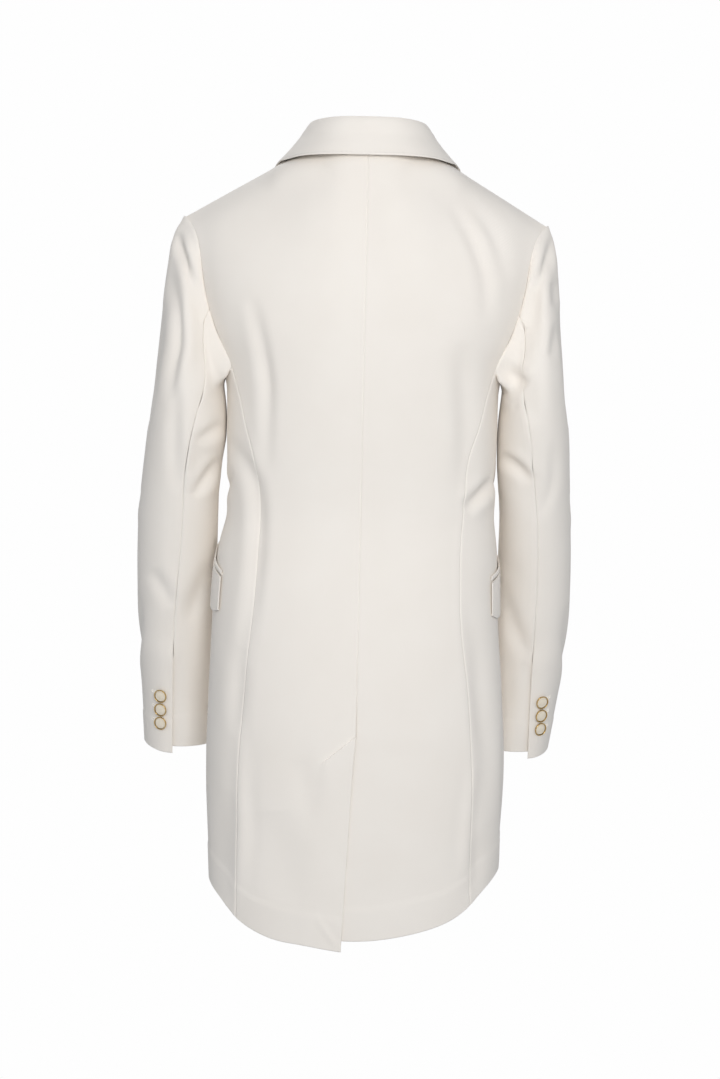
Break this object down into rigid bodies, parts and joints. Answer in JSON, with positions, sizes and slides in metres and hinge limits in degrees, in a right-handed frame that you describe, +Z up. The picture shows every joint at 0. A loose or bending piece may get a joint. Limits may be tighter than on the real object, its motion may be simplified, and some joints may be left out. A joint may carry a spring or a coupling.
{
  "type": "double-breasted coat",
  "caption": "Long fitted double-breasted blazer coat, hollow as worn, with peak lapels, turned-down collar, centre back vent, flap pockets and vented cuffs with metal-rimmed buttons.",
  "frame": {"origin": "middle of the wearer's neck, level with the points where the shoulder seams meet the collar", "axes": "+Z up, the wearer faces -Y, so the back of the coat faces +Y, and +X is the wearer's left"},
  "size_m": [0.4956, 0.2564, 0.8997],
  "materials": {
    "coat_cloth": "cream, smooth, soft twill, matt",
    "button_rim": "polished pale gold",
    "button_face": "pearly ivory"
  },
  "bodies": {
    "root": {"back_left": "coat_cloth", "back_right": "coat_cloth", "side_left": "coat_cloth", "side_right": "coat_cloth", "front_left": "coat_cloth", "front_right": "coat_cloth", "lapel_left": "coat_cloth", "lapel_right": "coat_cloth", "sleeve_top_left": "coat_cloth", "sleeve_top_right": "coat_cloth", "sleeve_under_left": "coat_cloth", "sleeve_under_right": "coat_cloth", "pocket_flap_left": "coat_cloth", "pocket_flap_right": "coat_cloth", "pocket_jet_left": "coat_cloth", "pocket_jet_right": "coat_cloth", "collar": "coat_cloth", "cuff_button_left_1_rim": "button_rim", "cuff_button_left_1_face": "button_face", "cuff_button_left_2_rim": "button_rim", "cuff_button_left_2_face": "button_face", "cuff_button_left_3_rim": "button_rim", "cuff_button_left_3_face": "button_face", "cuff_button_right_1_rim": "button_rim", "cuff_button_right_1_face": "button_face", "cuff_button_right_2_rim": "button_rim", "cuff_button_right_2_face": "button_face", "cuff_button_right_3_rim": "button_rim", "cuff_button_right_3_face": "button_face", "front_button_left_1_rim": "button_rim", "front_button_left_1_face": "button_face", "front_button_left_2_rim": "button_rim", "front_button_left_2_face": "button_face", "front_button_left_3_rim": "button_rim", "front_button_left_3_face": "button_face", "front_button_right_1_rim": "button_rim", "front_button_right_1_face": "button_face", "front_button_right_2_rim": "button_rim", "front_button_right_2_face": "button_face", "front_button_right_3_rim": "button_rim", "front_button_right_3_face": "button_face"}
  },
  "joints": []
}
